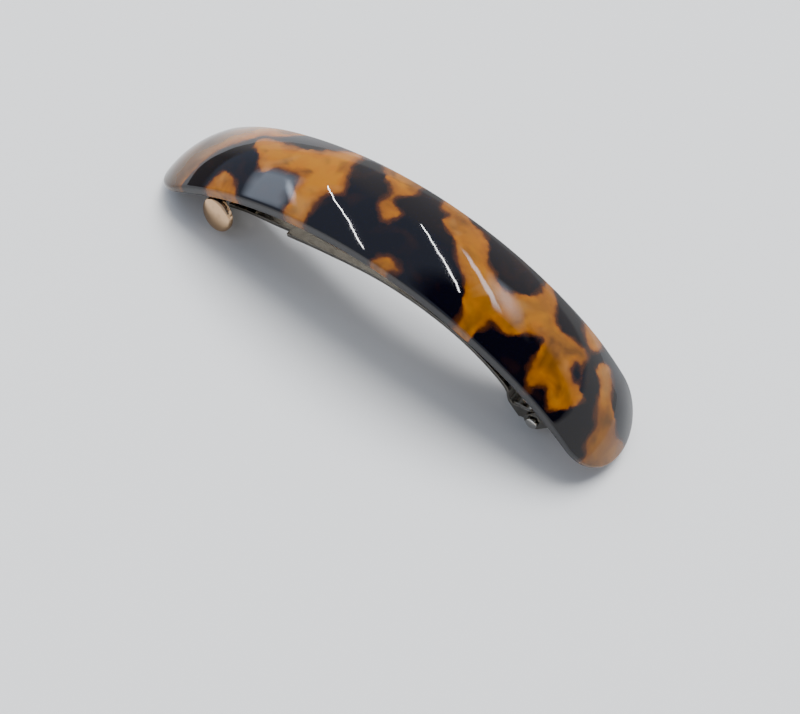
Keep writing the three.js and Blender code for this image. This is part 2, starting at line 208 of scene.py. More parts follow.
# Wraps flat geometry round the arch: X becomes arc length and Z height above the underside.
# Also gives the angle that each point had before it moved.
def addBend(tree, geometry, inputs):
    position = tree.nodes.new("GeometryNodeInputPosition")
    split = tree.nodes.new("ShaderNodeSeparateXYZ")
    link(tree, position.outputs[0], split.inputs[0])
    radius = inputs.outputs["Arch Radius"]
    angle = mathNode(tree, "DIVIDE", split.outputs["X"], radius)
    reach = mathNode(tree, "ADD", split.outputs["Z"], radius)
    rise = mathNode(tree, "MULTIPLY", reach, mathNode(tree, "COSINE", angle))
    bent = tree.nodes.new("ShaderNodeCombineXYZ")
    link(tree, mathNode(tree, "MULTIPLY", reach, mathNode(tree, "SINE", angle)), bent.inputs["X"])
    link(tree, split.outputs["Y"], bent.inputs["Y"])
    link(tree, mathNode(tree, "SUBTRACT", rise, radius), bent.inputs["Z"])
    keep = tree.nodes.new("GeometryNodeCaptureAttribute")
    keep.capture_items.new("FLOAT", "Angle")
    link(tree, geometry, keep.inputs["Geometry"])
    link(tree, angle, keep.inputs["Angle"])
    move = tree.nodes.new("GeometryNodeSetPosition")
    link(tree, keep.outputs["Geometry"], move.inputs["Geometry"])
    link(tree, bent.outputs[0], move.inputs["Position"])
    turn = tree.nodes.new("ShaderNodeCombineXYZ")
    link(tree, mathNode(tree, "MULTIPLY", inputs.outputs["Lean"], -1.0), turn.inputs["Y"])
    place = tree.nodes.new("GeometryNodeTransform")
    link(tree, move.outputs[0], place.inputs["Geometry"])
    link(tree, turn.outputs[0], place.inputs["Rotation"])
    link(tree, inputs.outputs["Offset"], place.inputs["Translation"])
    return place.outputs[0], keep.outputs["Angle"]


def endTree(tree, geometry, inputs, output):
    realize = tree.nodes.new("GeometryNodeRealizeInstances")
    paint = tree.nodes.new("GeometryNodeSetMaterial")
    link(tree, geometry, realize.inputs[0])
    link(tree, realize.outputs[0], paint.inputs["Geometry"])
    link(tree, inputs.outputs["Material"], paint.inputs["Material"])
    link(tree, paint.outputs[0], output.inputs[0])


# Turns what the tree makes into the object's own plain mesh.
def settleNodes(obj, tree, values):
    modifier = obj.modifiers.new(tree.name, "NODES")
    modifier.node_group = tree
    for item in tree.interface.items_tree:
        if item.in_out == "INPUT" and item.name in values:
            modifier[item.identifier] = values[item.name]
    graph = bpy.context.evaluated_depsgraph_get()
    mesh = bpy.data.meshes.new_from_object(obj.evaluated_get(graph), depsgraph=graph)
    obj.modifiers.remove(modifier)
    obj.data = mesh
    obj.data.shade_smooth()


# Shader helpers

def newMaterial(name, **sockets):
    material = bpy.data.materials.new(name)
    material.use_nodes = True
    shader = material.node_tree.nodes["Principled BSDF"]
    for label, value in sockets.items():
        shader.inputs[label].default_value = value
    return material, material.node_tree, shader


def noise(tree, vector, scale, detail=2.0, roughness=0.5, distortion=0.0):
    node = tree.nodes.new("ShaderNodeTexNoise")
    node.inputs["Scale"].default_value = scale
    node.inputs["Detail"].default_value = detail
    node.inputs["Roughness"].default_value = roughness
    node.inputs["Distortion"].default_value = distortion
    link(tree, vector, node.inputs["Vector"])
    return node.outputs["Fac"]


def stretched(tree, vector, scale):
    node = tree.nodes.new("ShaderNodeMapping")
    node.inputs["Scale"].default_value = scale
    link(tree, vector, node.inputs["Vector"])
    return node.outputs[0]


def objectPlace(tree):
    return tree.nodes.new("ShaderNodeTexCoord").outputs["Object"]


def remap(tree, value, low, high, toLow=0.0, toHigh=1.0):
    node = tree.nodes.new("ShaderNodeMapRange")
    for label, number in (("From Min", low), ("From Max", high), ("To Min", toLow), ("To Max", toHigh)):
        node.inputs[label].default_value = number
    link(tree, value, node.inputs["Value"])
    return node.outputs[0]


def mixColours(tree, factor, first, second):
    node = tree.nodes.new("ShaderNodeMix")
    node.data_type = "RGBA"
    link(tree, factor, node.inputs["Factor"])
    for label, value in (("A", first), ("B", second)):
        socket = [s for s in node.inputs if s.name == label and s.type == "RGBA"][0]
        if isinstance(value, tuple):
            socket.default_value = (*value, 1)
        else:
            link(tree, value, socket)
    return [s for s in node.outputs if s.type == "RGBA"][0]


def attribute(tree, name):
    node = tree.nodes.new("ShaderNodeAttribute")
    node.attribute_name = name
    return node.outputs["Fac"]


# Marks of use that every finish shares: smudges from fingers and hairline scratches along the bar.
# A noise is given as its scale, detail, roughness and distortion.
wear = {
    "inputs": {"Smudge Scale": 180.0, "Base Roughness": 0.1, "Smudge Spread": 0.05, "Scratch Depth": 0.3},
    "smudgeDetail": 4,
    "smudgeRange": (0.4, 0.68),
    "scratchStretch": (160, 3600, 3600),
    "scratchNoise": (1.0, 3, 0.7),
    "scratchRange": (0.6, 0.72),
    "scratchShare": 0.6,  # roughness that a scratch adds, as a share of what a smudge adds
}


def buildHandling():
    tree = bpy.data.node_groups.new("handling", "ShaderNodeTree")
    for label, value in wear["inputs"].items():
        socket = tree.interface.new_socket(name=label, in_out="INPUT", socket_type="NodeSocketFloat")
        socket.default_value = value
    for label in ("Roughness", "Height", "Smudge"):
        tree.interface.new_socket(name=label, in_out="OUTPUT", socket_type="NodeSocketFloat")
    inputs = tree.nodes.new("NodeGroupInput")
    output = tree.nodes.new("NodeGroupOutput")
    place = objectPlace(tree)
    smudge = tree.nodes.new("ShaderNodeTexNoise")
    smudge.inputs["Detail"].default_value = wear["smudgeDetail"]
    link(tree, place, smudge.inputs["Vector"])
    link(tree, inputs.outputs["Smudge Scale"], smudge.inputs["Scale"])
    mask = remap(tree, smudge.outputs["Fac"], *wear["smudgeRange"])
    lines = noise(tree, stretched(tree, place, wear["scratchStretch"]), *wear["scratchNoise"])
    scratches = remap(tree, lines, *wear["scratchRange"])
    spread = mathNode(tree, "MULTIPLY", mask, inputs.outputs["Smudge Spread"])
    share = mathNode(tree, "MULTIPLY", spread, wear["scratchShare"])
    added = mathNode(tree, "ADD", spread, mathNode(tree, "MULTIPLY", scratches, share))
    rough = mathNode(tree, "ADD", inputs.outputs["Base Roughness"], added)
    link(tree, rough, output.inputs["Roughness"])
    depth = mathNode(tree, "MULTIPLY", scratches, inputs.outputs["Scratch Depth"])
    link(tree, mathNode(tree, "MULTIPLY", depth, -1.0), output.inputs["Height"])
    link(tree, mask, output.inputs["Smudge"])
    return tree


handling = buildHandling()


def addHandling(tree, **values):
    node = tree.nodes.new("ShaderNodeGroup")
    node.node_tree = handling
    for label, value in values.items():
        node.inputs[label].default_value = value
    return node


def addBump(tree, height, distance, strength, shader, under=None):
    node = tree.nodes.new("ShaderNodeBump")
    node.inputs["Strength"].default_value = strength
    node.inputs["Distance"].default_value = distance
    link(tree, height, node.inputs["Height"])
    if under:
        link(tree, under, node.inputs["Normal"])
    link(tree, node.outputs[0], shader.inputs["Normal"])
    return node.outputs[0]


# Tortoiseshell acetate. Each patch is a smooth closed outline of listed points, seen from
# above the flat sheet, as millimetres along the bar and across it. Colours are linear.

shell = {
    "amberPatches": {
        "catchTip": [(-58, -12), (-46, -11), (-43.5, -8.5), (-42, -4.5), (-39.5, -0.5), (-36.5, 2.8),
                     (-34.5, 5), (-31.5, 6), (-29.8, 8.2), (-28.5, 12), (-58, 12)],
        "nearTriangle": [(-37.6, -12), (-36.4, -8.4), (-35.2, -6), (-33, -6.8), (-30.2, -9), (-29.4, -12)],
        "wishbone": [(-34.5, 3.2), (-33.4, 4.6), (-31, 4.4), (-28.5, 4.3), (-25.5, 4.1), (-22.5, 5.2),
                     (-20.5, 7.4), (-18, 9.4), (-16.9, 12), (-15.4, 12), (-15.3, 7), (-14.5, 3),
                     (-12.9, -0.4), (-12.8, -2.2), (-14.6, -3.4), (-15.2, -7), (-15.4, -12), (-18.6, -12),
                     (-19.4, -6.6), (-20.3, -3.4), (-21.4, -2.3), (-24.2, -2.2), (-26, -2.6), (-27.6, -4),
                     (-29, -3.2), (-30.6, -0.8), (-33, 1.2)],
        "drip": [(-11.6, 12), (-10.4, 8.4), (-8.6, 6.2), (-6.6, 4.6), (-5.6, 2), (-5.8, 0), (-5, -1.3),
                 (-3.7, -2.6), (-2.9, -1.4), (-2.2, 0.3), (-3.8, 0.9), (-4.9, 2.2), (-4.4, 4), (-2.8, 6),
                 (-3.3, 8.4), (-3.3, 12)],
        "nearSpot": [(-1.6, -12), (-0.6, -9), (0.8, -7.9), (2.5, -8.1), (3.5, -8.7), (2.2, -9.6),
                     (1.4, -12)],
        "river": [(1.4, 12), (2, 7.3), (3.9, 6.7), (3.7, 4.5), (5.4, 3.3), (7.6, 2.4), (8.4, 1),
                  (10.6, -1.4), (13.4, -3.2), (14.6, -5.6), (16.2, -8), (17, -12), (19, -12),
                  (20, -7.2), (20.6, -5.2), (23.6, -5.2), (25.4, -3.4), (27, -1.9), (28.8, -0.7),
                  (29.6, -2.8), (30.2, -6.2), (31.2, -8), (32.4, -9), (33.2, -7.4), (34.6, -6.6),
                  (36, -7.8), (37.4, -8.8), (38.6, -7), (39.8, -5.4), (40.6, -2.6), (38.8, -2.4),
                  (37.6, -0.6), (36.6, 1.4), (36.4, 3.6), (33.6, 3.9), (31.2, 3), (29, 3), (27.8, 4.6),
                  (27, 7), (24.8, 9.2), (24, 12), (22.8, 12), (23.6, 7.8), (23.4, 4.4), (21.6, 2.4),
                  (18.6, 0.4), (15.8, 1.6), (13, 3.8), (11.8, 6.6), (9.6, 8), (6.6, 8.6), (5.8, 12)],
        "farSpot": [(33.2, 12), (33.8, 8), (35, 6.2), (36.6, 5.6), (37.8, 7.6), (38.2, 12)],
        "hingeTip": [(39.3, 3.4), (40, 6), (41.4, 6.8), (43, 5.4), (44.4, 3), (46, 1.2), (48.4, 0.4),
                     (50.6, -0.6), (58, 1), (58, -12), (50, -12), (48.6, -8), (46.8, -6.6), (46.2, -4),
                     (44.4, -2), (42.6, 0.6), (41, 2.6)],
    },
    "darkPatches": {
        "farBay": [(-31.6, 6), (-29, 7.8), (-26.5, 12), (-17.6, 12), (-19.4, 8), (-22.6, 5.6), (-25.6, 4.6),
                   (-29, 4.9)],
        "riverIsland": [(35.4, 1), (37.4, 0.8), (38.6, -1.2), (37.4, -2.3), (35.8, -1.2)],
    },
    "outlineSteps": 5,  # points of the smooth outline for each listed one
    "smokeAndReflectionAlong": (-45 * mm, -38 * mm, 41 * mm, 47 * mm),  # the amber is smoky towards the tips; the darkening there is partly its own smoke and partly a painted brown reflection
    "smokeAndReflectionLevels": (1.0, 0.0, 0.0, 0.5),
    "black": (0.0012, 0.0010, 0.0034),
    "rust": (0.045, 0.012, 0.003),
    "orange": (0.19, 0.058, 0.003),
    "amber": (0.28, 0.088, 0.0004),
    "honey": (0.30, 0.106, 0.0008),
    "milk": (0.30, 0.145, 0.04),
    "caramel": (0.145, 0.054, 0.005),
    "umber": (0.075, 0.027, 0.003),
    # Brown of the tips: partly the acetate's smoke and partly a painted brown reflection.
    "smokeAndReflection": (0.034, 0.015, 0.004),
}


def smoothOutline(points):
    middle = np.array(points, float)
    before, after, beyond = (np.roll(middle, shift, axis=0)[:, None] for shift in (1, -1, -2))
    middle = middle[:, None]
    u = np.linspace(0, 1, shell["outlineSteps"], endpoint=False)[None, :, None]
    bend = 2 * before - 5 * middle + 4 * after - beyond
    twist = 3 * middle - before - 3 * after + beyond
    return (0.5 * (2 * middle + (after - before) * u + bend * u**2 + twist * u**3)).reshape(-1, 2)


# Distance from each place to an outline, positive inside it.
def depthInside(places, outline):
    nearest = np.full(len(places), np.inf)
    inside = np.zeros(len(places), bool)
    for start, end in zip(outline, np.roll(outline, -1, axis=0)):
        side = end - start
        offset = places - start
        share = np.clip(offset @ side / (side @ side), 0, 1)
        nearest = np.minimum(nearest, ((offset - share[:, None] * side) ** 2).sum(axis=1))
        if start[1] != end[1]:
            crossed = (start[1] > places[:, 1]) != (end[1] > places[:, 1])
            inside ^= crossed & (places[:, 0] < start[0] + offset[:, 1] * side[0] / side[1])
    return np.sqrt(nearest) * np.where(inside, 1, -1)


def amberDepth(places):
    groups = {}
    for group in ("amberPatches", "darkPatches"):
        outlines = [smoothOutline(points) for points in shell[group].values()]
        groups[group] = np.max([depthInside(places, outline) for outline in outlines], axis=0)
    return np.minimum(groups["amberPatches"], -groups["darkPatches"])


acetate = {
    "constants": {"IOR": 1.47, "Subsurface Weight": 0.12, "Subsurface Radius": (1.0, 0.35, 0.08),
                  "Subsurface Scale": 1.2 * mm},
    "patchGrowth": 0.25,  # millimetres, as are the warps and every depth below
    "edgeWarp": 0.62,
    "edgeNoise": (380, 1, 0.5, 0.4),
    "fineWarp": 0.32,
    "fineNoise": (850, 3, 0.6),
    "rampDepths": (-1.5, 3),
    "rampStops": {0.0: "black", 0.22: "black", 0.34: "rust", 0.43: "orange", 0.6: "amber", 1.0: "honey"},
    "amberDepths": (0.2, 1.4),
    "darkDepths": (-0.6, 0.6),
    "smokeAndReflectionDepths": (-0.2, 0.8),
    "brownAlong": (-14 * mm, 6 * mm, 0.0, 0.8),
    "clouds": {  # a noise, then the range used of it and the levels that this becomes
        "softness": ((260, 2), (0.35, 0.65, 0.35, 1.9)),
        "caramel": ((150, 2, 0.5, 0.8), (0.36, 0.6, 0.1, 1)),
        "umber": ((190, 2, 0.5, 0.5), (0.5, 0.68, 0, 0.75)),
        "milk": ((120, 2, 0.5, 0.6), (0.56, 0.72, 0, 0.5)),
        "veil": ((200, 2, 0.5, 0.5), (0.55, 0.72, 0, 0.16)),
        "haze": ((95, 3, 0.5, 0.5), (0.35, 0.65, 0.8, 1.0)),
    },
    "marks": {"Smudge Scale": 90.0, "Base Roughness": 0.022, "Smudge Spread": 0.03, "Scratch Depth": 0.25},
    "scratchBump": (0.002 * mm, 0.35),  # distance and strength
    "waveNoise": (110, 2, 0.4),
    "waveBump": (0.5 * mm, 0.21),
}


def cloud(tree, place, name):
    pattern, levels = acetate["clouds"][name]
    return remap(tree, noise(tree, place, *pattern), *levels)


def warped(tree, place, name):
    centred = mathNode(tree, "SUBTRACT", noise(tree, place, *acetate[f"{name}Noise"]), 0.5)
    return mathNode(tree, "MULTIPLY", centred, acetate[f"{name}Warp"] * 2)


def tortoiseshell():
    material, tree, shader = newMaterial("tortoiseshell acetate", **acetate["constants"])
    place = objectPlace(tree)
    grown = mathNode(tree, "ADD", attribute(tree, "amberDepth"), acetate["patchGrowth"])
    warp = mathNode(tree, "ADD", warped(tree, place, "edge"), warped(tree, place, "fine"))
    depth = mathNode(tree, "ADD", grown, warp)

    # The edge of a patch goes from black through rust and orange, over a width that varies.
    spread = mathNode(tree, "DIVIDE", depth, cloud(tree, place, "softness"))
    ramp = tree.nodes.new("ShaderNodeValToRGB")
    link(tree, remap(tree, spread, *acetate["rampDepths"]), ramp.inputs[0])
    stops = acetate["rampStops"]
    elements = ramp.color_ramp.elements
    for extra in range(len(stops) - 2):
        elements.new((extra + 1) / len(stops))
    for element, (position, name) in zip(elements, stops.items()):
        element.position = position
        element.color = (*shell[name], 1)
    colour = ramp.outputs[0]

    # The amber is browner towards the hinge. Dark layers show faintly from below, milky swirls float in it,
    # and the dark has veils of rust. Smoke darkens the amber of the tips, partly a painted brown
    # reflection.
    split = tree.nodes.new("ShaderNodeSeparateXYZ")
    link(tree, place, split.inputs[0])
    brown = remap(tree, split.outputs["X"], *acetate["brownAlong"])
    inAmber = remap(tree, depth, *acetate["amberDepths"])
    inDark = mathNode(tree, "SUBTRACT", 1.0, remap(tree, depth, *acetate["darkDepths"]))
    inSmokeAndReflection = remap(tree, depth, *acetate["smokeAndReflectionDepths"])
    smokeAndReflectionShare = mathNode(tree, "MULTIPLY", attribute(tree, "smokeAndReflection"), inSmokeAndReflection)
    layers = (
        ("caramel", mathNode(tree, "MULTIPLY", brown, cloud(tree, place, "caramel")), inAmber),
        ("umber", cloud(tree, place, "umber"), inAmber),
        ("milk", cloud(tree, place, "milk"), inAmber),
        ("rust", cloud(tree, place, "veil"), inDark),
        ("smokeAndReflection", cloud(tree, place, "haze"), smokeAndReflectionShare),
    )
    for name, share, where in layers:
        colour = mixColours(tree, mathNode(tree, "MULTIPLY", share, where), colour, shell[name])
    link(tree, colour, shader.inputs["Base Color"])

    marks = addHandling(tree, **acetate["marks"])
    link(tree, marks.outputs["Roughness"], shader.inputs["Roughness"])
    scratched = addBump(tree, marks.outputs["Height"], *acetate["scratchBump"], shader)
    addBump(tree, noise(tree, place, *acetate["waveNoise"]), *acetate["waveBump"], shader, scratched)
    return material


bar = {
    "crown": 1.95 * mm,  # top of the crown above the side wall
    "wallAtMiddle": 2.4 * mm,
    "wallAtTips": 1.3 * mm,
    "wallTaper": 22 * mm,
    "lowerEdge": 0.4 * mm,  # radius
    "upperEdge": 0.7 * mm,
    "sideSteps": 170,
    "capSteps": 56,
    "edgeRings": 6,
    "crownRings": 26,
    "undersideRings": 5,
}


def wallHeight(arc):
    share = min(max((abs(arc) - halfArc + bar["wallTaper"]) / bar["wallTaper"], 0), 1)
    blend = share * share * (3 - 2 * share)
    return bar["wallAtMiddle"] + (bar["wallAtTips"] - bar["wallAtMiddle"]) * blend


# One closed ring of the flat bar, inset from its rounded outline.
def outlineRing(halfWidth, inset, heightAt):
    reach = halfArc - halfWidth
    radius = halfWidth - inset
    ring = []
    for side in (1, -1):
        for step in range(bar["capSteps"]):
            angle = math.pi * (step / bar["capSteps"] - 0.5)
            arc = side * (reach + radius * math.cos(angle))
            ring.append((arc, side * radius * math.sin(angle), heightAt(arc)))
        for step in range(bar["sideSteps"]):
            arc = side * reach * (1 - 2 * step / bar["sideSteps"])
            ring.append((arc, side * radius, heightAt(arc)))
    return ring


# Rings from the middle of the underside, out and up the wall, and in over the crown.
def barRings(halfWidth):
    rings = []
    for step in range(bar["undersideRings"]):
        inset = halfWidth + (bar["lowerEdge"] - halfWidth) * step / bar["undersideRings"]
        rings.append(outlineRing(halfWidth, inset, lambda arc: 0))
    for step in range(bar["edgeRings"] + 1):
        angle = math.pi / 2 * step / bar["edgeRings"]
        inset = bar["lowerEdge"] * (1 - math.sin(angle))
        height = bar["lowerEdge"] * (1 - math.cos(angle))
        rings.append(outlineRing(halfWidth, inset, lambda arc: height))

    # The upper edge turns only as far as the slope of the crown, so that it runs smoothly into it.
    crownReach = halfWidth - bar["upperEdge"]
    lastTurn = math.pi / 2 - math.atan(2 * bar["crown"] / crownReach)
    joinInset = bar["upperEdge"] * (1 - math.cos(lastTurn))
    joinShare = (halfWidth - joinInset) / crownReach
    joinRise = bar["crown"] * (1 - joinShare * joinShare)
    for step in range(bar["edgeRings"] + 1):
        angle = lastTurn * step / bar["edgeRings"]
        rise = joinRise - bar["upperEdge"] * (math.sin(lastTurn) - math.sin(angle))
        inset = bar["upperEdge"] * (1 - math.cos(angle))
        rings.append(outlineRing(halfWidth, inset, lambda arc: wallHeight(arc) + rise))
    for step in range(1, bar["crownRings"] + 1):
        share = joinShare * (1 - step / bar["crownRings"])
        inset = halfWidth - crownReach * share
        rise = bar["crown"] * (1 - share * share)
        rings.append(outlineRing(halfWidth, inset, lambda arc: wallHeight(arc) + rise))
    return rings


def flatBar():
    low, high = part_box("acetate_bar")
    rings = barRings((high.y - low.y) / 2)
    size = len(rings[0])
    faces = []
    for row in range(len(rings) - 1):
        for k in range(size):
            a, b = row * size + k, row * size + (k + 1) % size
            faces.append((a, b, b + size, a + size))
    mesh = bpy.data.meshes.new("tortoiseshell_bar")
    mesh.from_pydata([point for ring in rings for point in ring], [], faces)
    bm = bmesh.new()
    bm.from_mesh(mesh)
    bmesh.ops.remove_doubles(bm, verts=bm.verts, dist=weldGap)
    bm.to_mesh(mesh)
    bm.free()
    return mesh


def addPattern(mesh):
    places = np.empty(len(mesh.vertices) * 3, np.float32)
    mesh.vertices.foreach_get("co", places)
    places = places.reshape(-1, 3).astype(float)
    # How far the tips darken: partly smoky acetate and partly a painted brown reflection.
    smokeAndReflection = np.interp(places[:, 0], shell["smokeAndReflectionAlong"], shell["smokeAndReflectionLevels"])
    values = {"amberDepth": amberDepth(places[:, :2] / mm), "smokeAndReflection": smokeAndReflection}
    for name, numbers in values.items():
        mesh.attributes.new(name, "FLOAT", "POINT").data.foreach_set("value", numbers.astype(np.float32))


def makeBar():
    mesh = flatBar()
    addPattern(mesh)
    piece = newObject("tortoiseshell_bar", mesh)
    tree, inputs, output = newTree("bend bar", archInputs)
    bent = addBend(tree, inputs.outputs["Geometry"], inputs)[0]
    endTree(tree, bent, inputs, output)
    settleNodes(piece, tree, {**archValues, "Material": tortoiseshell()})
    finishPiece(piece, "bar_and_base", ["acetate_bar"])


makeBar()
print("acetate bar made")

# Plated metals

metals = {
    "nickel plate": {"tone": (0.27, 0.25, 0.215), "dull": (0.18, 0.165, 0.14), "roughness": 0.05,
                     "spread": 0.06, "grain": (220, 2600, 2600), "grainDepth": 0.004 * mm},
    "spring steel": {"tone": (0.46, 0.45, 0.43), "dull": (0.34, 0.33, 0.31), "roughness": 0.14,
                     "spread": 0.10, "grain": (120, 3400, 3400), "grainDepth": 0.008 * mm},
    "rivet steel": {"tone": (0.58, 0.56, 0.52), "dull": (0.42, 0.40, 0.36), "roughness": 0.12,
                    "spread": 0.12, "grain": (1500, 1500, 1500), "grainDepth": 0.006 * mm},
    "pale gold": {"tone": (0.57, 0.375, 0.22), "dull": (0.44, 0.28, 0.16), "roughness": 0.06,
                  "spread": 0.08, "grain": (900, 900, 900), "grainDepth": 0.003 * mm},
}

plating = {
    "marks": {"Smudge Scale": 420.0, "Scratch Depth": 0.5},
    "tarnishNoise": (650, 3, 0.6),
    "tarnishRange": (0.45, 0.7),
    "grainNoise": (1.0, 3, 0.6),
    "grainStrength": 0.3,
}


def platedMetal(name):
    look = metals[name]
    material, tree, shader = newMaterial(name, Metallic=1.0)
    place = objectPlace(tree)
    marks = addHandling(tree, **plating["marks"], **{"Base Roughness": look["roughness"],
                                                     "Smudge Spread": look["spread"]})
    tarnish = remap(tree, noise(tree, place, *plating["tarnishNoise"]), *plating["tarnishRange"])
    grimy = mathNode(tree, "MULTIPLY", tarnish, marks.outputs["Smudge"])
    colour = mixColours(tree, grimy, look["tone"], look["dull"])
    link(tree, colour, shader.inputs["Base Color"])
    link(tree, marks.outputs["Roughness"], shader.inputs["Roughness"])
    grain = noise(tree, stretched(tree, place, look["grain"]), *plating["grainNoise"])
    height = mathNode(tree, "ADD", grain, marks.outputs["Height"])
    addBump(tree, height, look["grainDepth"], plating["grainStrength"], shader)
    return material


finishes = {name: platedMetal(name) for name in metals}

# Pressed strips: each keeps its shape, with its sharp edges eased as tumbling leaves them.

pressed = {
    "easing": 0.07 * mm,
    "easingSteps": 3,
    "easingProfile": 0.5,
    "shortestEdge": 0.0035 * mm,
    "sharpAngle": math.radians(32),
    "flatAngle": math.radians(0.4),
    "pieces": {
        "base_plate": ("clip_base_plate", "bar_and_base", "nickel_plated_steel", "nickel plate"),
        "catch_web": ("catch_web_plate", "bar_and_base", "nickel_plated_steel", "nickel plate"),
        "catch_lever_near": ("catch_wing_near", "catch_lever_near", "nickel_plated_steel", "nickel plate"),
        "catch_lever_far": ("catch_wing_far", "catch_lever_far", "nickel_plated_steel", "nickel plate"),
        "swing_arm": ("swing_arm_strip", "swing_arm", "nickel_plated_steel", "nickel plate"),
        "tension_bar": ("tension_leaf", "tension_bar", "spring_steel", "spring steel"),
    },
}


def easedCopy(node, name):
    mesh = bpy.data.meshes.new(name)
    bm = bmesh.new()
    bm.from_mesh(frame["nodes"][node].data)
    bmesh.ops.remove_doubles(bm, verts=bm.verts, dist=weldGap)
    bmesh.ops.dissolve_limit(bm, angle_limit=pressed["flatAngle"], verts=bm.verts, edges=bm.edges)
    limit = pressed["sharpAngle"]
    sharp = [edge for edge in bm.edges if edge.is_manifold and edge.calc_face_angle() > limit]
    bmesh.ops.bevel(bm, geom=sharp, offset=pressed["easing"], offset_type="OFFSET", affect="EDGES",
                    segments=pressed["easingSteps"], profile=pressed["easingProfile"],
                    clamp_overlap=False, miter_outer="ARC")
    bmesh.ops.dissolve_degenerate(bm, dist=pressed["shortestEdge"], edges=bm.edges)
    bm.to_mesh(mesh)
    bm.free()
    mesh.shade_smooth()
    mesh.set_sharp_from_angle(angle=limit)
    return mesh


def makePressed():
    for node, (name, body, slot, finish) in pressed["pieces"].items():
        piece = newObject(name, easedCopy(node, name))
        piece.data.materials.append(finishes[finish])
        weight = piece.modifiers.new("even shading", "WEIGHTED_NORMAL")
        weight.keep_sharp = True
        finishPiece(piece, body, [node])


makePressed()
print("pressed strips made")

# Rivets under the clip

rivets = {
    "arcs": {"catch": arch["catchArc"], "catchSide": -30.8 * mm, "hingeSide": 30.2 * mm},
    "seatDepth": {"catch": 2.2 * mm, "catchSide": 1.4 * mm, "hingeSide": 1.4 * mm},
    "headScale": {"catch": 1.3 / 1.5, "catchSide": 1.0, "hingeSide": 1.0},
    "headRadius": 1.5 * mm,
    "headRim": 0.2 * mm,
    "headDome": 0.3 * mm,
    "rimRadius": 0.08 * mm,
    "shankRadius": 0.8 * mm,
    "shankLength": 1.7 * mm,
    "domeSteps": 14,
    "sides": 56,
}


def rivetMesh():
    radius, rim, edge = rivets["headRadius"], rivets["headRim"], rivets["rimRadius"]
    upright = dome(radius - edge, rim, rivets["headDome"], rivets["domeSteps"])
    crown = [(reach, -height) for reach, height in reversed(upright)]
    seat = roundOver((radius - edge, -edge), edge, 0, 90)
    shank = [(rivets["shankRadius"], 0), (rivets["shankRadius"], rivets["shankLength"])]
    profile = crown + [(radius, -rim + edge / 2)] + seat + shank + [(0, rivets["shankLength"])]
    return lathe("rivet", profile, rivets["sides"])


def makeRivets():
    places = [(rivets["arcs"][key], 0, -rivets["seatDepth"][key]) for key in rivets["arcs"]]
    points = bpy.data.meshes.new("clip_rivets")
    points.from_pydata(places, [], [])
    scales = points.attributes.new("headScale", "FLOAT", "POINT")
    for item, key in zip(scales.data, rivets["arcs"]):
        item.value = rivets["headScale"][key]
    piece = newObject("clip_rivets", points)
    pattern = newObject("rivet_pattern", rivetMesh())
    tree, inputs, output = newTree("set rivets", {**archInputs, "Rivet": "NodeSocketObject"})
    bent, angle = addBend(tree, inputs.outputs["Geometry"], inputs)
    source = tree.nodes.new("GeometryNodeObjectInfo")
    link(tree, inputs.outputs["Rivet"], source.inputs["Object"])
    turn = tree.nodes.new("ShaderNodeCombineXYZ")
    link(tree, mathNode(tree, "SUBTRACT", angle, inputs.outputs["Lean"]), turn.inputs["Y"])
    size = tree.nodes.new("GeometryNodeInputNamedAttribute")
    size.data_type = "FLOAT"
    size.inputs["Name"].default_value = "headScale"
    spread = tree.nodes.new("GeometryNodeInstanceOnPoints")
    link(tree, bent, spread.inputs["Points"])
    link(tree, source.outputs["Geometry"], spread.inputs["Instance"])
    link(tree, turn.outputs[0], spread.inputs["Rotation"])
    link(tree, size.outputs["Attribute"], spread.inputs["Scale"])
    endTree(tree, spread.outputs[0], inputs, output)
    settleNodes(piece, tree, {**archValues, "Rivet": pattern, "Material": finishes["rivet steel"]})
    bpy.data.objects.remove(pattern)
    nodes = ["bar_rivet_catch_side", "bar_rivet_hinge_side", "catch_rivet"]
    finishPiece(piece, "bar_and_base", nodes)


makeRivets()
print("rivets set")

# Hinge pin, turned with a shallow dome on each head

pin = {
    "radius": 0.8 * mm,
    "headRadius": 1.15 * mm,
    "headHeight": 0.5 * mm,
    "headRim": 0.22 * mm,
    "edge": 0.08 * mm,
    "domeSteps": 16,
    "sides": 56,
}


def makePin():
    low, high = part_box("hinge_pin")
    half = (high.y - low.y) / 2
    inner = half - pin["headHeight"]
    edge = pin["edge"]
    rimTop = inner + pin["headRim"]
    upper = [(pin["radius"], inner)]
    upper += roundOver((pin["headRadius"] - edge, inner + edge), edge, -90, 0)
    upper += dome(pin["headRadius"], rimTop, half - rimTop, pin["domeSteps"])
    profile = [(radius, -height) for radius, height in reversed(upper)] + upper
    mesh = lathe("hinge_pin_turned", profile, pin["sides"])
    mesh.transform(Matrix.Translation(centreOf("hinge_pin")) @ Matrix.Rotation(-math.pi / 2, 4, "X"))
    piece = newObject("hinge_pin_turned", mesh)
    mesh.materials.append(finishes["rivet steel"])
    finishPiece(piece, "bar_and_base", ["hinge_pin"])


makePin()

# Finger pads, domed discs on the flared wings of the catch

pads = {
    "radius": 3.5 * mm,
    "rim": 0.9 * mm,
    "dome": 0.75 * mm,
    "backEdge": 0.25 * mm,
    "frontEdge": 0.2 * mm,
    "edgeSteps": (6, 5),  # of the back edge and of the front one
    "frontTurn": 55,  # degrees that the front edge turns before the dome takes over
    "domeInset": 0.1 * mm,
    "domeSteps": 22,
    "sides": 96,
    "studRadius": 0.9 * mm,
    "studFlat": 0.63 * mm,  # radius of its flat tip
    "studChamfer": 0.18 * mm,  # height of the chamfer round the tip
    "studReach": 0.4 * mm,
    "gap": 0.3 * mm,
    "wingThickness": 0.5 * mm,
    "wingTop": 5.05 * mm,  # half the width between the middles of the wings, at the web
    "wingFlare": math.radians(13.4),
    "webDepth": 1.4 * mm,
    "depth": 6.4 * mm,
}


